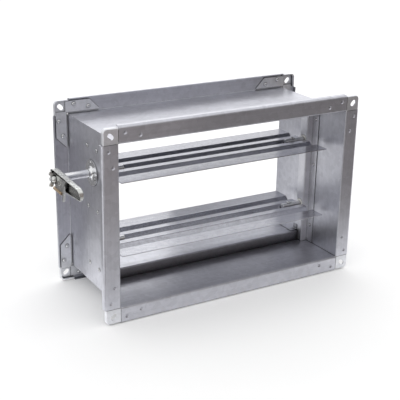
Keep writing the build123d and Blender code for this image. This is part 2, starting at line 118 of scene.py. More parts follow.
# %% World
def shader_node(tree, kind, inputs=None, **settings):
    """Add one node; inputs maps a socket's name or number to a constant or to another node's output."""
    made = tree.nodes.new(kind)
    for setting, value in settings.items():
        setattr(made, setting, value)
    for socket, value in (inputs or {}).items():
        if isinstance(value, bpy.types.NodeSocket):
            tree.links.new(value, made.inputs[socket])
        else:
            made.inputs[socket].default_value = value
    return made


white = (1.0, 1.0, 1.0, 1.0)
room_strength = 1.0
world = bpy.data.worlds.new("studio")
bpy.context.scene.world = world
world.use_nodes = True
world.node_tree.nodes.clear()
room = shader_node(world.node_tree, "ShaderNodeBackground", {"Color": white, "Strength": room_strength})
shader_node(world.node_tree, "ShaderNodeOutputWorld", {0: room.outputs[0]})
print("white room of strength", room_strength)


# %% Floor
def stage_sheet(name, corners, colour):
    """Flat four-cornered sheet of matt paper that belongs to the studio."""
    mesh = bpy.data.meshes.new(name)
    mesh.from_pydata(corners, [], [(0, 1, 2, 3)])
    paper = bpy.data.materials.new(name)
    paper.use_nodes = True
    shader = paper.node_tree.nodes["Principled BSDF"]
    shader.inputs["Base Color"].default_value = (*colour, 1.0)
    shader.inputs["Roughness"].default_value = 1.0
    shader.inputs["Specular IOR Level"].default_value = 0.0
    mesh.materials.append(paper)
    sheet = bpy.data.objects.new(name, mesh)
    bpy.context.scene.collection.objects.link(sheet)
    return sheet


def level_corners(height, left, right, near, far):
    """Corners of a level rectangle at a height, between its left and right and its near and far edge."""
    return [(left, near, height), (right, near, height), (right, far, height), (left, far, height)]


def whiten(sheet, lift):
    """Give a sheet some light of its own where it is seen, straight or in metal, but not as a lamp."""
    tree = sheet.data.materials[0].node_tree
    shader = tree.nodes["Principled BSDF"]
    shader.inputs["Emission Color"].default_value = white
    ray = shader_node(tree, "ShaderNodeLightPath").outputs
    seen = ray["Is Camera Ray"]
    for kind in ("Is Glossy Ray", "Is Transmission Ray"):
        seen = shader_node(tree, "ShaderNodeMath", {0: seen, 1: ray[kind]}, operation="MAXIMUM").outputs[0]
    glow = shader_node(tree, "ShaderNodeMath", {0: seen, 1: lift}, operation="MULTIPLY")
    tree.links.new(glow.outputs[0], shader.inputs["Emission Strength"])


floor_level = solid_box[0][2]
floor_half = 30.0
floor_lift = 0.1
paper_white = (0.97, 0.97, 0.97)
floor_corners = level_corners(floor_level, -floor_half, floor_half, -floor_half, floor_half)
whiten(stage_sheet("floor", floor_corners, paper_white), floor_lift)
print("floor at", floor_level)


# %% Cards
def standing_corners(start, end, top):
    """Corners of an upright rectangle on the floor, from a start to an end and up to a top."""
    return [(*start, floor_level), (*end, floor_level), (*end, top), (*start, top)]


def mirror_only(sheet):
    """Let a card show in reflections alone, so that it throws no shade on the floor."""
    sheet.visible_camera = False
    sheet.visible_diffuse = False
    sheet.visible_shadow = False
    sheet.visible_transmission = False


front_left, front_turn, front_right = (-0.6, -0.55), (0.1, -0.38), (1.6, -0.02)
front_top = 0.43
back_left, back_right = (0.08, 0.42), (0.9, 0.42)
back_top = 0.12
lying = floor_level + 0.001
side_lift = 0.45
edge_corners = [(-1.6, -1.5, lying), (-0.38, -0.5, lying), (-0.38, -0.01, lying), (-1.6, -0.72, lying)]
card_looks = {
    "near_card": (standing_corners(front_left, front_turn, front_top), (0.32, 0.285, 0.275)),
    "front_card": (standing_corners(front_turn, front_right, front_top), (0.195, 0.175, 0.17)),
    "left_card": (level_corners(lying, left=-1.9, right=-0.405, near=0.16, far=2.0), (0.22, 0.215, 0.22)),
    "foot_card": (level_corners(lying, left=-0.35, right=0.33, near=-0.6, far=-0.12), (0.66, 0.65, 0.65)),
    "right_card": (level_corners(lying, left=0.33, right=1.0, near=-0.6, far=-0.12), (0.50, 0.49, 0.49)),
    "edge_card": (edge_corners, (0.30, 0.27, 0.27)),
    "side_card": (level_corners(lying, left=-0.405, right=-0.252, near=0.004, far=0.226), paper_white),
    "back_card": (standing_corners(back_left, back_right, back_top), (0.70, 0.705, 0.73)),
}
cards = {name: stage_sheet(name, corners, colour) for name, (corners, colour) in card_looks.items()}
for card in cards.values():
    mirror_only(card)
# The side card glows in the metal alone: a painted reflection of white floor, without its shadow, at the foot
# of the left wall.
whiten(cards["side_card"], side_lift)
print("cards that show in the metal alone:", len(cards))


# %% Lamp
def soft_lamp(name, place, aim, width, height, power):
    """Rectangular area lamp at a place, looking at an aim point."""
    data = bpy.data.lights.new(name, "AREA")
    data.shape = "RECTANGLE"
    data.size = width
    data.size_y = height
    data.energy = power
    lamp = bpy.data.objects.new(name, data)
    back = np.array(place) - np.array(aim)
    back = back / np.linalg.norm(back)
    side = np.cross([0.0, 0.0, 1.0], back)
    side = side / np.linalg.norm(side)
    put_in_scene(lamp, np.column_stack([side, np.cross(back, side), back]), place)
    lamp.visible_camera = False
    print(name, power, "W")


soft_lamp("back_lamp", place=(0.9, 1.7, 1.3), aim=(0.0, 0.1, 0.15), width=2.4, height=0.9, power=6.0)

# %% [markdown]
# ## Galvanised sheet
# Sheet steel dipped in zinc shows flat crystals a few millimetres wide, each a slightly other grey
# and gloss, over the long streaks of the rolling mill. A photograph of sheet could be wrapped on,
# but a picture stretches round folds. Voronoi cells on object coordinates give the crystals, noise
# stretched one way gives the streaks, and both stay at their true size on every side.

# %% Helpers for textures
noise_detail = 3.0


def start_finish(name, metallic):
    """New node material with its tree, its shader and the object coordinates."""
    material = bpy.data.materials.new(name)
    material.use_nodes = True
    tree = material.node_tree
    shader = tree.nodes["Principled BSDF"]
    shader.inputs["Metallic"].default_value = metallic
    return material, tree, shader, shader_node(tree, "ShaderNodeTexCoord").outputs["Object"]


def even(waves):
    """The same number of waves per metre along X, Y and Z."""
    return (waves, waves, waves)


def noise(tree, place, waves):
    """Noise texture over coordinates multiplied by the waves per metre along X, Y and Z."""
    spread = shader_node(tree, "ShaderNodeVectorMath", {0: place, 1: waves}, operation="MULTIPLY")
    settings = {"Vector": spread.outputs[0], "Scale": 1.0, "Detail": noise_detail}
    return shader_node(tree, "ShaderNodeTexNoise", settings).outputs[0]


def weighted_sum(tree, *terms):
    """Sum of texture outputs, each times its weight."""
    total = 0.0
    for output, weight in terms:
        step = shader_node(tree, "ShaderNodeMath", {0: output, 1: weight, 2: total}, operation="MULTIPLY_ADD")
        total = step.outputs[0]
    return total


print("noise detail", noise_detail)

# %% Helpers for colour, gloss and relief
# Painted shade: ambient occlusion darkens a colour in crevices, fully at an openness of 0.5 and not at all at
# 1.
shade_samples = 8
fully_shaded_openness, unshaded_openness = 0.5, 1.0


def colour_ramp(tree, factor, dark, pale, low, high):
    """Colour that goes from dark at the low factor to pale at the high one."""
    ramp = shader_node(tree, "ShaderNodeValToRGB", {0: factor})
    for stop, place, colour in zip(ramp.color_ramp.elements, (low, high), (dark, pale)):
        stop.position = place
        stop.color = (*colour, 1.0)
    return ramp.outputs[0]


def spread_values(tree, factor, low, high):
    """Factor from 0 to 1 laid over the range from low to high."""
    settings = {"Value": factor, "To Min": low, "To Max": high}
    return shader_node(tree, "ShaderNodeMapRange", settings).outputs[0]


def painted_crevice_shade(tree, colour, reach, darkest):
    """Painted shade: darken a colour where other surfaces close in within a reach, where shade falls in seams
    and corners.
    """
    openness = shader_node(tree, "ShaderNodeAmbientOcclusion", {"Distance": reach}, samples=shade_samples)
    settings = {"Value": openness.outputs["AO"], "From Min": fully_shaded_openness, "From Max": unshaded_openness,
                "To Min": darkest, "To Max": 1.0}
    share = shader_node(tree, "ShaderNodeMapRange", settings).outputs[0]
    shaded = shader_node(tree, "ShaderNodeVectorMath", {0: colour, "Scale": share}, operation="SCALE")
    return shaded.outputs[0]


def raise_surface(tree, shader, height, strength, distance):
    """Bump the shader's normal by a height times a distance in metres, as strongly as a strength says."""
    bump = shader_node(tree, "ShaderNodeBump", {"Strength": strength, "Distance": distance, "Height": height})
    tree.links.new(bump.outputs[0], shader.inputs["Normal"])


print("crevices darken from an openness of", unshaded_openness, "down to", fully_shaded_openness)

# %% Galvanised finish
zinc_metallic = 0.92
wander_waves, wander_detail = 110.0, 2.0
wander_reach = (0.008, 0.008, 0.008)
cloud_waves = even(7.0)


def galvanised_finish(name, dark, pale, rolling, crystal_size, gloss, crevice_shade=(0.0022, 0.2)):
    """Zinc crystals on wandering coordinates, mill streaks and clouds, each with its share of the tone.

    The crevice shade is painted shade: the reach of crevices in metres and the share of the colour left in
    them.
    """
    material, tree, shader, place = start_finish(name, metallic=zinc_metallic)
    settings = {"Vector": place, "Scale": wander_waves, "Detail": wander_detail}
    wander = shader_node(tree, "ShaderNodeTexNoise", settings).outputs["Color"]
    settings = {0: wander, 1: wander_reach, 2: place}
    drift = shader_node(tree, "ShaderNodeVectorMath", settings, operation="MULTIPLY_ADD").outputs[0]
    cells = shader_node(tree, "ShaderNodeTexVoronoi", {"Vector": drift, "Scale": 1.0 / crystal_size})
    crystal = shader_node(tree, "ShaderNodeSeparateColor", {0: cells.outputs["Color"]}).outputs
    streaks = noise(tree, place, rolling)
    clouds = noise(tree, place, cloud_waves)
    tone = weighted_sum(tree, (crystal[0], 0.22), (streaks, 0.4), (clouds, 0.38))
    colour = colour_ramp(tree, tone, dark, pale, low=0.3, high=0.7)
    # Painted shade: the colour darkens in crevices, where other surfaces close in.
    tree.links.new(painted_crevice_shade(tree, colour, *crevice_shade), shader.inputs["Base Color"])
    dulled = weighted_sum(tree, (crystal[1], 0.5), (clouds, 0.5))
    tree.links.new(spread_values(tree, dulled, *gloss), shader.inputs["Roughness"])
    relief = weighted_sum(tree, (crystal[2], 0.35), (streaks, 0.65))
    raise_surface(tree, shader, relief, strength=0.2, distance=0.00025)
    return material


print("crystal edges wander by up to", wander_reach[0], "m")

# %% Galvanised finishes
along_duct_width = (5.0, 240.0, 240.0)
along_blade = (3.0, 420.0, 420.0)
upright = (240.0, 240.0, 5.0)
sheet_look = {
    "dark": (0.52, 0.525, 0.57), "pale": (0.645, 0.65, 0.705), "crystal_size": 0.009, "gloss": (0.28, 0.43)}
sheet_across = galvanised_finish("galvanised_across", rolling=along_duct_width, **sheet_look)
sheet_upright = galvanised_finish("galvanised_upright", rolling=upright, **sheet_look)
# The stampings' painted shade darkens their seams and dents to 12 per cent of the colour within 4 mm.
stamped = galvanised_finish(
    "galvanised_stamping", dark=(0.71, 0.72, 0.75), pale=(0.84, 0.85, 0.89), rolling=even(90.0),
    crystal_size=0.006, gloss=(0.38, 0.50), crevice_shade=(0.004, 0.12))
blade_sheet = galvanised_finish(
    "galvanised_blade", dark=(0.43, 0.435, 0.475), pale=(0.535, 0.54, 0.59), rolling=along_blade,
    crystal_size=0.007, gloss=(0.17, 0.29))
# The stop is the across sheet with a deeper painted shade: it reaches 35 mm and darkens its corners to a
# tenth.
stop_sheet_deep_shade = galvanised_finish("galvanised_stop_deep_shade", rolling=along_duct_width, crevice_shade=(0.035, 0.1), **sheet_look)
channel_sheet = galvanised_finish(
    "galvanised_channel", dark=(0.66, 0.665, 0.71), pale=(0.78, 0.785, 0.83), rolling=upright,
    crystal_size=0.009, gloss=(0.34, 0.46))
print("six galvanised finishes")

# %% [markdown]
# ## Plated and moulded finishes
# The lever, shafts and fasteners are zinc plated by the barrel: brighter than the sheet, with a
# faint tint and small dull patches. Rivets are soft aluminium, the peg is brass gone brown and the
# bushes are nylon. The metals are one formula with other colours, so one function makes them all.

# %% Plated and moulded finish
patch_waves, dent_waves = even(65.0), even(110.0)
mark_height = 0.0002
nylon_clouds, nylon_grain = even(120.0), even(1500.0)


def plated_finish(name, dark, pale, marks, gloss, crevice_shade=(0.004, 0.3), dents=0.0):
    """Bare metal: tool marks and dull patches share the tone, patches set the gloss, dents bend the face."""
    material, tree, shader, place = start_finish(name, metallic=1.0)
    tool_marks = noise(tree, place, marks)
    patches = noise(tree, place, patch_waves)
    tone = weighted_sum(tree, (tool_marks, 0.5), (patches, 0.5))
    colour = colour_ramp(tree, tone, dark, pale, low=0.32, high=0.68)
    # Painted shade: the colour darkens in crevices, where other surfaces close in.
    tree.links.new(painted_crevice_shade(tree, colour, *crevice_shade), shader.inputs["Base Color"])
    tree.links.new(spread_values(tree, patches, *gloss), shader.inputs["Roughness"])
    relief = weighted_sum(tree, (tool_marks, mark_height), (noise(tree, place, dent_waves), dents))
    raise_surface(tree, shader, relief, strength=0.15, distance=1.0)
    return material


def nylon_finish(name, dark, pale, gloss):
    """Moulded nylon: cloudy tone, fine grain and a soft gloss."""
    material, tree, shader, place = start_finish(name, metallic=0.0)
    clouds = noise(tree, place, nylon_clouds)
    tree.links.new(colour_ramp(tree, clouds, dark, pale, low=0.3, high=0.7), shader.inputs["Base Color"])
    tree.links.new(spread_values(tree, clouds, *gloss), shader.inputs["Roughness"])
    raise_surface(tree, shader, noise(tree, place, nylon_grain), strength=0.1, distance=0.0001)
    return material


print("tool marks up to", mark_height, "m high")

# %% Plated and moulded finishes
even_marks = even(400.0)
lever_marks = (60.0, 420.0, 420.0)
peg_marks = (700.0, 60.0, 60.0)
turning_marks = (1400.0, 12.0, 12.0)
soft_dents = 0.004
# Every plated finish carries painted shade in its crevices. The lever's reaches 28 mm and leaves 3 per cent
# of the colour, so the tray goes dark under the lock plate.
lever_zinc = plated_finish(
    "lever_zinc", dark=(0.52, 0.53, 0.515), pale=(0.80, 0.81, 0.79), marks=lever_marks, gloss=(0.16, 0.32),
    crevice_shade=(0.028, 0.03), dents=soft_dents)
lock_zinc = plated_finish(
    "lock_zinc", dark=(0.58, 0.59, 0.575), pale=(0.82, 0.83, 0.81), marks=even_marks, gloss=(0.18, 0.34),
    crevice_shade=(0.008, 0.1), dents=soft_dents)
turned_zinc = plated_finish(
    "turned_zinc", dark=(0.74, 0.75, 0.77), pale=(0.88, 0.89, 0.90), marks=turning_marks, gloss=(0.30, 0.42))
smooth_zinc = plated_finish(
    "smooth_zinc", dark=(0.85, 0.86, 0.88), pale=(0.95, 0.955, 0.96), marks=turning_marks,
    gloss=(0.20, 0.30), crevice_shade=(0.006, 0.3))
bright_zinc = plated_finish(
    "bright_zinc", dark=(0.60, 0.61, 0.63), pale=(0.78, 0.79, 0.80), marks=even_marks, gloss=(0.30, 0.45))
# Painted shade darkens a ring round each rivet and button, down to a tenth of the colour within 4 mm.
rivet_metal = plated_finish(
    "rivet_metal", dark=(0.56, 0.57, 0.58), pale=(0.76, 0.77, 0.78), marks=even_marks, gloss=(0.12, 0.26),
    crevice_shade=(0.004, 0.1))
brown_brass = plated_finish(
    "brown_brass", dark=(0.34, 0.24, 0.15), pale=(0.52, 0.39, 0.26), marks=peg_marks, gloss=(0.30, 0.48))
nylon = nylon_finish("nylon", dark=(0.76, 0.755, 0.72), pale=(0.87, 0.865, 0.84), gloss=(0.38, 0.55))
print("seven plated or bare metals and nylon")

# %% [markdown]
# ## Dressing the solids
# The folded sheet, the stampings and the linkage already have their true form as solids. They keep
# it, and only get their finish. Each name says what the piece is, so its first words pick the finish.

# %% Finish of each solid
finish_of = {
    "casing_top": sheet_across, "casing_bottom": sheet_across, "casing_left": sheet_upright,
    "casing_right": sheet_upright, "corner_": stamped, "channel_bush": nylon, "wall_bush": nylon,
    "channel_": channel_sheet, "stop_": stop_sheet_deep_shade, "upper_blade": blade_sheet, "lower_blade": blade_sheet,
    "stand_off_sleeve": smooth_zinc, "wall_flange": smooth_zinc, "hand_lever": lever_zinc,
    "lock_plate": lock_zinc, "upper_crank": bright_zinc, "lower_crank": bright_zinc, "tie_rod": bright_zinc,
}
dressed = 0
for name, node in nodes.items():
    first_words = next((words for words in finish_of if name.startswith(words)), None)
    if first_words:
        node.data.materials.clear()
        node.data.materials.append(finish_of[first_words])
        dressed += 1
print("finishes on", dressed, "solid pieces")

# %% [markdown]
# ## Surfaces on a grid
# Rivets, screws, nuts and pins are all turned or pressed about an axis. They could be cut out of
# cylinders, but a grid is simpler: one direction runs along the piece, the other round it, and a
# formula gives each point. The first and last rings shrink to a point, so that the skin is closed.
# Places are measured on the solids where they can be. Lengths are in millimetres until a piece is placed.

# %% Places taken from the solids
mm = 0.001


def span_mm(node):
    """Lowest and highest corner of a solid in millimetres, to a hundredth."""
    return np.round(np.array([list(corner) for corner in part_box(node)]) / mm, 2)


def middle_mm(node):
    """Middle of a solid's box in millimetres, to a hundredth."""
    return np.round(np.array([list(corner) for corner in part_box(node)]).mean(axis=0) / mm, 2)


shaft_depth, shaft_height = middle_mm("upper_crank_washer")[1:]
shaft_heights = {"upper": shaft_height, "lower": -shaft_height}
wall_outside = span_mm("casing_top")[1][0]
casing_depth = span_mm("casing_top")[1][1]
clear_half = np.array([span_mm("casing_right")[0][0], span_mm("casing_top")[0][2]])
casing_thickness = round(wall_outside - clear_half[0], 2)
print("shafts", shaft_depth, "mm deep and", shaft_height, "mm from the middle; sheet", casing_thickness, "mm")

# %% Grid helpers
leftward, rightward = (-1, 0, 0), (1, 0, 0)
frontward, upward = (0, -1, 0), (0, 0, 1)


def spun(along, radius, sides):
    """Points (along, radius cos a, radius sin a): along and radius spread over rings and side angles a."""
    angle = np.arange(sides) * (2.0 * np.pi / sides)
    along, radius, angle = np.broadcast_arrays(along, radius, angle)
    return np.stack([along, radius * np.cos(angle), radius * np.sin(angle)], axis=-1)


def turned(profile, sides=48):
    """Profile of (along, radius) pairs turned about the axis."""
    along, radius = np.array(profile, dtype=float).T
    return spun(along[:, None], radius[:, None], sides)


def placed(points, origins, axis, up=upward):
    """Points along the axis, across it and up, in millimetres, set at each origin and given in metres."""
    axis, up = np.array(axis, dtype=float), np.array(up, dtype=float)
    turn = np.stack([axis, np.cross(up, axis), up])
    return (points @ turn + np.array(origins, dtype=float)[:, None, None, :]) * mm


print("points round a turned rim:", turned([(0.0, 1.0)]).shape[1])

# %% Meshes from grids
sharp_edge = math.radians(32.0)


def copied(faces, copies, count):
    """Faces of one copy repeated for every copy, each with its own vertices."""
    return (faces[None] + (np.arange(copies) * count)[:, None, None]).reshape(-1, faces.shape[1]).tolist()


def quads_between(rings, sides, first):
    """Quads from each ring to the next and round to the first side again."""
    turn = np.arange(sides)
    after = (turn + 1) % sides
    ring = first + np.arange(rings - 1)[:, None] * sides
    following = ring + sides
    return np.stack([ring + turn, ring + after, following + after, following + turn], axis=-1).reshape(-1, 4)


def closed_mesh(name, points):
    """Closed skins from points[copy, ring, side]; the first and last rings are single points."""
    copies, rings, sides, _ = points.shape
    body = points[:, 1:-1].reshape(copies, -1, 3)
    vertices = np.concatenate([points[:, :1, 0], body, points[:, -1:, 0]], axis=1)
    count = vertices.shape[1]
    turn = np.arange(sides)
    after = (turn + 1) % sides
    last_ring = count - 1 - sides
    first_fan = np.column_stack([np.zeros(sides, dtype=int), 1 + after, 1 + turn])
    last_fan = np.column_stack([last_ring + turn, last_ring + after, np.full(sides, count - 1)])
    fans = copied(np.concatenate([first_fan, last_fan]), copies, count)
    quads = copied(quads_between(rings - 2, sides, 1), copies, count)
    mesh = bpy.data.meshes.new(name)
    mesh.from_pydata(vertices.reshape(-1, 3).tolist(), [], fans + quads)
    return mesh


def ring_mesh(name, points):
    """Rings with an open middle from points[copy, ring, side]; the last profile point joins the first."""
    copies, rings, sides, _ = points.shape
    wrapped = quads_between(rings + 1, sides, 0) % (rings * sides)
    mesh = bpy.data.meshes.new(name)
    mesh.from_pydata(points.reshape(-1, 3).tolist(), [], copied(wrapped, copies, rings * sides))
    return mesh


def add_piece(mesh, finish, body, slot, *replaced):
    """Shade a mesh smooth up to its sharp edges, give it its finish and let it ride in place of solids."""
    mesh.shade_smooth()
    mesh.set_sharp_from_angle(angle=sharp_edge)
    mesh.materials.append(finish)
    piece = bpy.data.objects.new(mesh.name, mesh)
    bpy.context.scene.collection.objects.link(piece)
    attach(piece, body)
    if replaced:
        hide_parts(*replaced)
    print(mesh.name, len(mesh.polygons), "faces on", body)


print("edges stay sharp above", round(math.degrees(sharp_edge)), "degrees")

# %% [markdown]
# ## Rivets
# Blind rivets hold the channels, the stops and the wall flange. Outside, such a rivet has a low dome
# with a pit where its nail broke off; inside, the nail has pulled it into a round bulb. One profile
# from the bulb to the pit is turned about each rivet's axis, so all rivets of a wall are one piece.

# %% Rivet surface
rivet_sides = 32
rivet_shank, rivet_head = 2.0, 4.0
rivet_rim, rivet_rise, pit_mouth = 0.3, 1.2, 1.6
bulb_length, bulb_radius = 1.5, 3.7
# Down from the pit's mouth to its floor, then up the stump of the nail.
rivet_pit = [(1.25, 1.35), (0.75, 1.2), (0.75, 1.05), (1.05, 0.85), (1.1, 0.0)]


def dome(base, height, wide, narrow, steps=9):
    """Quarter round: the sine raises the profile from its base, the cosine narrows it from wide to narrow."""
    turn = np.linspace(0.0, np.pi / 2.0, steps)
    return np.column_stack([base + height * np.sin(turn), narrow + (wide - narrow) * np.cos(turn)])


def rivets_at(spots, grip, axis, up=upward):
    """Blind rivets whose heads sit at the spots on sheets of a grip: bulb, shank, dome and pit, turned."""
    bulb = dome(-grip, -bulb_length, bulb_radius, 0.0)[::-1]
    shank = [(-grip, rivet_shank), (0.0, rivet_shank), (0.0, rivet_head), (rivet_rim, rivet_head)]
    head = dome(rivet_rim, rivet_rise, rivet_head, pit_mouth)[1:]
    return placed(turned(np.concatenate([bulb, shank, head, rivet_pit]), rivet_sides), spots, axis, up)


print("rivet domes stand", rivet_rim + rivet_rise, "mm proud")

# %% Channel rivets
channel_thickness = 1.5
channel_grip = casing_thickness + channel_thickness
row_offset = 21.25
rivet_rows = (shaft_depth - row_offset, shaft_depth + row_offset)
rivet_heights = {"left": (120.0, 0.0, -118.0), "right": (118.0, 20.0, -118.0)}
for side, outward in (("left", -1.0), ("right", 1.0)):
    face = outward * wall_outside
    spots = [(face, depth, height) for depth in rivet_rows for height in rivet_heights[side]]
    rivets = rivets_at(spots, channel_grip, (outward, 0, 0))
    add_piece(closed_mesh(f"domed_rivets_{side}", rivets), rivet_metal, "casing", "rivet_aluminium",
              f"channel_rivets_{side}")

# %% Wall flange rivets
flange_thickness = 2.5
flange_face = wall_outside + flange_thickness
flange_circle = 19.0
round_angles = np.radians([90.0, 210.0, 330.0])
flange_spots = np.column_stack([np.full(round_angles.size, -flange_face),
                                shaft_depth + flange_circle * np.cos(round_angles),
                                shaft_height + flange_circle * np.sin(round_angles)])
flange_rivets = rivets_at(flange_spots, casing_thickness + flange_thickness, leftward)
add_piece(closed_mesh("domed_flange_rivets", flange_rivets), rivet_metal, "casing", "rivet_aluminium",
          "wall_flange_rivets")

# %% Stop rivets
end_inset, foot_inset = 15.0, 6.25
stop_rivet_reach = -span_mm("channel_left")[1][0] - end_inset
stop_outside = clear_half[1] + casing_thickness
top_depth = span_mm("stop_top")[0][1] + foot_inset
bottom_depth = span_mm("stop_bottom")[1][1] - foot_inset
for level, depth, outward in (("top", top_depth, 1.0), ("bottom", bottom_depth, -1.0)):
    spots = [(reach, depth, outward * stop_outside) for reach in (-stop_rivet_reach, stop_rivet_reach)]
    stop_rivets = rivets_at(spots, channel_grip, (0, 0, outward), up=rightward)
    add_piece(closed_mesh(f"stop_rivets_{level}", stop_rivets), rivet_metal, "casing", "rivet_aluminium")

# %% [markdown]
# ## Clinch buttons
# A punch joins each flange to the leg of its corner piece: in front it leaves a dent, behind it a
# round button. The solids have the dent and a plain stub of the button. Here each button gets the
# smooth, domed skin that the die leaves, set over its stub on the leg's back.

# %% Buttons on the corner legs
corner_thickness = 2.0
leg_back = casing_thickness + corner_thickness
button_root, button_height, button_radius = -0.5, 2.3, 4.1
along_and_out = np.array([(12.0, 20.0), (42.0, 12.0)])
corner_signs = np.array([(x, z) for x in (-1.0, 1.0) for z in (-1.0, 1.0)])
across_leg = clear_half + along_and_out * (-1.0, 1.0)
upright_leg = clear_half + along_and_out[:, ::-1] * (1.0, -1.0)
in_corner = np.concatenate([across_leg, upright_leg])
button_xz = (corner_signs[:, None, :] * in_corner[None]).reshape(-1, 2)
button_profile = np.concatenate([[(button_root, 0.0), (button_root, button_radius)],
                                 dome(0.0, button_height, button_radius, 0.0)])
for end, level, inward in (("front", leg_back, 1.0), ("rear", casing_depth - leg_back, -1.0)):
    spots = np.insert(button_xz, 1, level, axis=1)
    buttons = placed(turned(button_profile, rivet_sides), spots, (0, inward, 0))
    add_piece(closed_mesh(f"clinch_buttons_{end}", buttons), rivet_metal, "casing", "galvanised_corner")

# %% [markdown]
# ## Blade screws and nuts
# A screw goes down through each shaft stub and the groove under it, and a nut holds it from below.
# The head is a pan with a cross recess: the recess lowers the top wherever a point lies close to one
# of two crossing lines. The nut is a hexagon cut back by a cone at both faces, the smaller of the two.

# %% Screw surface
screw_sides = 64
screw_radius, screw_chamfer = 2.5, 0.6
pan_radius, pan_crown, pan_edge = 4.5, 3.0, 1.2
top_radius, top_rings = 2.8, 15
recess_half, recess_reach, recess_depth = 0.75, 2.4, 1.5
recess_side, recess_end = 0.3, 0.4
top_margin = 0.001


def pan_screw(seat, head_top, tail):
    """Chamfered shank, pan head and a cross recess pressed into its top."""
    shank = [(tail, 0.0), (tail, screw_radius - screw_chamfer), (tail + screw_chamfer, screw_radius),
             (seat, screw_radius), (seat, pan_radius), (head_top - pan_edge, pan_radius)]
    shoulder = dome(head_top - pan_edge, pan_edge, pan_radius, pan_crown, steps=7)[1:]
    inner = np.linspace(top_radius, 0.0, top_rings)
    profile = np.concatenate([shank, shoulder, np.column_stack([np.full(top_rings, head_top), inner])])
    points = spun(profile[:, :1], profile[:, 1:], screw_sides)
    off_line = np.minimum(np.abs(points[..., 1]), np.abs(points[..., 2]))
    off_middle = np.hypot(points[..., 1], points[..., 2])
    near_line = np.clip((recess_half - off_line) / recess_side, 0.0, 1.0)
    near_middle = np.clip((recess_reach - off_middle) / recess_end, 0.0, 1.0)
    on_top = points[..., 0] > head_top - top_margin
    points[..., 0] -= recess_depth * near_line * near_middle * on_top
    return points


screw_reach = span_mm("upper_blade_screws")[1][0] - pan_radius
print("blade screws", screw_reach, "mm from the middle")

# %% Nut surface
nut_sides, nut_rings = 72, 17
face_share, cone_slope = 0.97, 1.75


def hexagon_nut(start, end, flats):
    """Radius of a nut: the smaller of a hexagon at this angle and a cone that falls towards each face."""
    angle = np.arange(nut_sides) * (2.0 * np.pi / nut_sides)
    hexagon = flats / 2.0 / np.cos((angle + np.pi / 6.0) % (np.pi / 3.0) - np.pi / 6.0)
    along = np.linspace(start, end, nut_rings)[:, None]
    cone = flats / 2.0 * face_share + cone_slope * np.minimum(along - start, end - along)
    radius = np.minimum(hexagon[None], cone)
    along = np.concatenate([[[start]], along, [[end]]])
    return spun(along, np.pad(radius, ((1, 1), (0, 0))), nut_sides)


blade_nut_span = span_mm("upper_blade_nuts")
blade_nut_flats = blade_nut_span[1][1] - blade_nut_span[0][1]
print("blade nuts", blade_nut_flats, "mm across flats")

# %% Screws and nuts in place
seat_flat = 5.0
screw_tail, screw_top = span_mm("upper_blade_screws")[:, 2] - shaft_height
nut_below, nut_above = blade_nut_span[:, 2] - shaft_height
for blade, height in shaft_heights.items():
    spots = [(reach, shaft_depth, height) for reach in (-screw_reach, screw_reach)]
    screws = placed(pan_screw(seat_flat, screw_top, screw_tail), spots, upward, up=rightward)
    add_piece(closed_mesh(f"{blade}_pan_screws", screws), bright_zinc, f"{blade}_blade", "zinc_hardware",
              f"{blade}_blade_screws")
    nuts = placed(hexagon_nut(nut_below, nut_above, blade_nut_flats), spots, upward, up=rightward)
    add_piece(closed_mesh(f"{blade}_hexagon_nuts", nuts), bright_zinc, f"{blade}_blade", "zinc_hardware",
              f"{blade}_blade_nuts")

# %% [markdown]
# ## Shaft stubs
# Each stub is one bar: flattened underneath where it lies in the blade's groove, with a flat seat for
# the screw, then round in its bushes, square in its lever or crank and threaded at the end. All of
# it is one radius that depends on the place along the bar and the angle round it.

# %% Stub surface
bar_sides = 64
bar_radius, bar_chamfer = 6.0, 0.6
groove_flat, seat_half = 5.5, 5.5
square_half, square_corner = 4.2, 5.6
thread_radius, thread_depth, thread_pitch = 4.0, 0.6, 1.25
thread_step, step_width = 0.15, 0.02
least_sine = 0.01
stub_start = span_mm("upper_stub_right")[0][0]
blade_end = span_mm("upper_blade")[1][0]


def stub(round_end, square_end, thread_end):
    """Smallest of the round bar, its flats, its square, its helical thread and the chamfers at both ends."""
    steps = np.array([screw_reach - seat_half, screw_reach + seat_half, blade_end, round_end, square_end])
    stations = np.concatenate([[stub_start, stub_start + bar_chamfer], steps - step_width, steps + step_width,
                               np.arange(square_end, thread_end, thread_step),
                               [thread_end - bar_chamfer, thread_end]])
    along = np.unique(np.clip(stations, stub_start, thread_end))[:, None]
    angle = np.arange(bar_sides)[None] * (2.0 * np.pi / bar_sides)
    across, up = np.abs(np.cos(angle)), np.sin(angle)
    radius = np.full((along.size, angle.size), bar_radius)
    below = groove_flat / np.maximum(-up, least_sine)
    above = seat_flat / np.maximum(up, least_sine)
    radius = np.where(along < blade_end, np.minimum(radius, below), radius)
    radius = np.where(np.abs(along - screw_reach) < seat_half, np.minimum(radius, above), radius)
    square = np.minimum(square_half / np.maximum(across, np.abs(up)), square_corner)
    radius = np.where((along > round_end) & (along <= square_end), square, radius)
    phase = (along / thread_pitch - angle / (2.0 * np.pi)) % 1.0
    thread = thread_radius - thread_depth * np.abs(2.0 * phase - 1.0)
    radius = np.where(along > square_end, thread, radius)
    end_radius = thread_radius if thread_end > square_end else bar_radius
    start_chamfer = bar_radius - bar_chamfer + along - stub_start
    end_chamfer = end_radius - bar_chamfer + thread_end - along
    radius = np.minimum(radius, np.minimum(start_chamfer, end_chamfer))
    along = np.concatenate([along[:1], along, along[-1:]])
    return spun(along, np.pad(radius, ((1, 1), (0, 0))), bar_sides)


print("stubs start", stub_start, "mm from the middle; blades end at", blade_end, "mm")

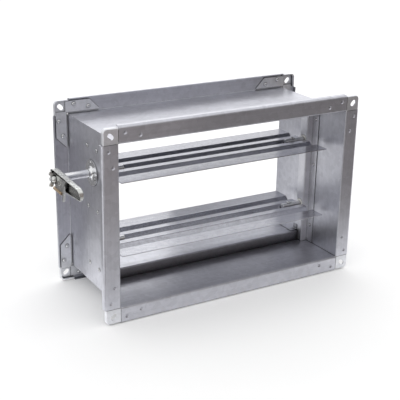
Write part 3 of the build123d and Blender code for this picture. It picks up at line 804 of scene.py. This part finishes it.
# %% Stubs in place
lever_back = -span_mm("hand_lever")[1][0]
wing_seat = -span_mm("wing_nut")[1][0]
lever_thread_end = -span_mm("upper_stub_left")[0][0]
plain_end = -span_mm("lower_stub_left")[0][0]
crank_inside = span_mm("upper_crank_pin")[0][0]
washer_start, washer_end = span_mm("upper_crank_washer")[:, 0]
crank_thread_end = span_mm("upper_stub_right")[1][0]
crank_ends = (crank_inside, washer_start, crank_thread_end)
stub_ends = {"upper_left": (lever_back, wing_seat, lever_thread_end), "upper_right": crank_ends,
             "lower_left": (plain_end, plain_end, plain_end), "lower_right": crank_ends}
for name, ends in stub_ends.items():
    blade, side = name.split("_")
    outward = rightward if side == "right" else leftward
    points = placed(stub(*ends), [(0.0, shaft_depth, shaft_heights[blade])], outward)
    add_piece(closed_mesh(f"{blade}_shaft_{side}", points), turned_zinc, f"{blade}_blade", "zinc_hardware",
              f"{blade}_stub_{side}")

# %% [markdown]
# ## Lever hardware
# A spacer tube, a lock plate and a wing nut sit outside the lever, and a brown peg lies under the
# plate. The wing nut's two ears are cushions: an outline round two circles shrinks towards its middle
# as the surface rises to each face, so that the rim comes out round as on a casting.


# %% Spacer
def rounded_tube(start, end, inner, outer, edge):
    """Profile round a tube wall, out along the outside and back through the bore, its edges broken."""
    return [(start + edge, inner), (start, inner + edge), (start, outer - edge), (start + edge, outer),
            (end - edge, outer), (end, outer - edge), (end, inner + edge), (end - edge, inner)]


spacer_end, spacer_start = -span_mm("lever_spacer")[:, 0]
spacer_profile = rounded_tube(spacer_start, spacer_end, inner=bar_radius, outer=9.0, edge=0.5)
spacer = placed(turned(spacer_profile), [(0.0, shaft_depth, shaft_height)], leftward)
add_piece(ring_mesh("turned_spacer", spacer), turned_zinc, "upper_blade", "zinc_hardware", "lever_spacer")

# %% Peg
peg_sides = 40
peg_radius, peg_length = 3.4, 36.0
butt_edge, tip_edge = 0.8, 1.2
groove_radius = 2.9
peg_groove = [(29.0, peg_radius), (29.5, groove_radius), (31.0, groove_radius), (31.5, peg_radius)]
butt = dome(butt_edge, -butt_edge, peg_radius, peg_radius - butt_edge, steps=5)[::-1]
tip = dome(peg_length - tip_edge, tip_edge, peg_radius, peg_radius - tip_edge, steps=6)
peg_profile = np.concatenate([[(0.0, 0.0)], butt, peg_groove, tip, [(peg_length, 0.0)]])
peg_middle = middle_mm("lock_peg")
peg_back = span_mm("lock_peg")[1][1]
peg = placed(turned(peg_profile, peg_sides), [(peg_middle[0], peg_back, peg_middle[2])], frontward)
add_piece(closed_mesh("brass_peg", peg), brown_brass, "upper_blade", "peg_brass", "lock_peg")

# %% Wing nut
ear_sides, ear_rings = 72, 25
ear_root, root_radius = np.array((3.75, 3.75)), 2.5
ear_lobe, lobe_radius = np.array((7.5, 11.0)), 4.5
ear_middle, ear_thickness = np.array((6.2, 8.4)), 3.4
shrink_power, rise_power = 0.45, 0.9
# Across the seat, up the taper, over the rim and into the sunk middle.
hub_profile = [(0.0, 0.0), (0.0, 7.1), (0.4, 7.5), (7.0, 5.73),
               (7.5, 5.2), (7.5, 4.6), (6.9, 4.1), (6.9, 0.0)]


def ear_outline():
    """Band round two circles: at each angle the point of whichever circle reaches further that way."""
    angle = np.arange(ear_sides) * (2.0 * np.pi / ear_sides)
    heading = np.column_stack([np.cos(angle), np.sin(angle)])
    further = heading @ (ear_lobe - ear_root) + lobe_radius - root_radius > 0.0
    return np.where(further[:, None], ear_lobe + lobe_radius * heading, ear_root + root_radius * heading)


def wing_ear():
    """Cushion over an outline: it shrinks as a power of the cosine while it rises as a power of the sine."""
    tilt = np.linspace(-np.pi / 2.0, np.pi / 2.0, ear_rings)[:, None]
    shrink = np.abs(np.cos(tilt)) ** shrink_power
    shrink[[0, -1]] = 0.0
    rise = np.sign(tilt) * np.abs(np.sin(tilt)) ** rise_power * ear_thickness / 2.0
    flat = ear_middle + (ear_outline() - ear_middle)[None] * shrink[..., None]
    across = np.broadcast_to(rise, flat.shape[:2])
    return np.stack([flat[..., 0], across, flat[..., 1]], axis=-1)[::-1]


hub_spot = [(-wing_seat, shaft_depth, shaft_height)]
hub = closed_mesh("wing_hub", placed(turned(hub_profile), hub_spot, leftward))
add_piece(hub, lock_zinc, "wing_nut", "zinc_lever", "wing_nut")
ears = np.concatenate([placed(wing_ear(), hub_spot, leftward, up=(0, 0, way)) for way in (1.0, -1.0)])
add_piece(closed_mesh("wing_ears", ears), lock_zinc, "wing_nut", "zinc_lever")

# %% [markdown]
# ## Linkage hardware
# Outside the right wall, washers and nuts hold the two cranks on their squares. Each crank pin has a
# collar behind the tie rod and a groove in front of it, and an open spring clip with three inner
# teeth snaps into that groove. The clip is an oblong wire whose inner edge follows three bumps.

# %% Crank pin
pin_sides = 40
pin_radius, groove_floor = 3.0, 2.5
collar_length, collar_radius = 0.8, 5.0
collar_slope, collar_lip = 0.2, 4.7
pin_edge, pin_face = 0.9, 1.9
collar_end = washer_start + collar_length
groove_start, groove_end = span_mm("upper_pin_ring")[:, 0]
pin_end = span_mm("upper_crank_pin")[1][0]


def crank_pin():
    """Stepped pin: shank in the crank, collar, journal, clip groove and a domed end."""
    shank = [(crank_inside, 0.0), (crank_inside, pin_radius), (washer_start, pin_radius)]
    collar = [(washer_start, collar_lip), (washer_start + collar_slope, collar_radius),
              (collar_end - collar_slope, collar_radius), (collar_end, collar_lip), (collar_end, pin_radius)]
    groove = [(groove_start, pin_radius), (groove_start, groove_floor),
              (groove_end, groove_floor), (groove_end, pin_radius)]
    end = dome(pin_end - pin_edge, pin_edge, pin_radius, pin_face, steps=6)
    return turned(np.concatenate([shank, collar, groove, end, [(pin_end, 0.0)]]), pin_sides)


print("clip grooves from", groove_start, "to", groove_end, "mm")

# %% Spring clip
clip_gap, clip_play = 0.65, 0.05
clip_rings = 65
clip_inside, clip_outside = 3.8, 5.5
tooth_height, tooth_width = 1.2, 0.2
tooth_angles = np.array([1.0, 2.0, 3.0]) * np.pi / 2.0


def spring_clip():
    """Wire of oblong section bent round the pin: its inner edge bulges inward at three teeth."""
    sweep = np.linspace(clip_gap, 2.0 * np.pi - clip_gap, clip_rings)
    teeth = np.exp(-((sweep[:, None] - tooth_angles) / tooth_width) ** 2).max(axis=1)
    inner = clip_inside - tooth_height * teeth
    outer = np.full(clip_rings, clip_outside)
    radius = np.stack([inner, inner, outer, outer], axis=1)
    low, high = groove_start + clip_play, groove_end - clip_play
    along = np.broadcast_to(np.array([low, high, high, low]), radius.shape)
    wire = np.stack([along, radius * np.cos(sweep)[:, None], radius * np.sin(sweep)[:, None]], axis=-1)
    ends = [np.broadcast_to(wire[end].mean(axis=0), (1, 4, 3)) for end in (0, -1)]
    return np.concatenate([ends[0], wire, ends[1]])


print("clip teeth reach in to a radius of", round(clip_inside - tooth_height, 2), "mm")

# %% Linkage hardware in place
crank_nut_span = span_mm("upper_crank_nut")
nut_start, nut_end = crank_nut_span[:, 0]
crank_nut_flats = crank_nut_span[1][2] - crank_nut_span[0][2]
washer_profile = rounded_tube(washer_start, washer_end, inner=4.1, outer=8.0, edge=0.25)
for blade, height in shaft_heights.items():
    body = f"{blade}_blade"
    on_shaft = [(0.0, shaft_depth, height)]
    on_pin = [(0.0, *middle_mm(f"{blade}_crank_pin")[1:])]
    washer = ring_mesh(f"{blade}_washer", placed(turned(washer_profile), on_shaft, rightward))
    add_piece(washer, bright_zinc, body, "zinc_hardware", f"{blade}_crank_washer")
    nut_points = placed(hexagon_nut(nut_start, nut_end, crank_nut_flats), on_shaft, rightward)
    nut = closed_mesh(f"{blade}_shaft_nut", nut_points)
    add_piece(nut, bright_zinc, body, "zinc_hardware", f"{blade}_crank_nut")
    pin = closed_mesh(f"{blade}_stepped_pin", placed(crank_pin(), on_pin, rightward))
    add_piece(pin, turned_zinc, body, "zinc_hardware", f"{blade}_crank_pin")
    clip = closed_mesh(f"{blade}_spring_clip", placed(spring_clip(), on_pin, rightward))
    add_piece(clip, bright_zinc, body, "zinc_hardware", f"{blade}_pin_ring")
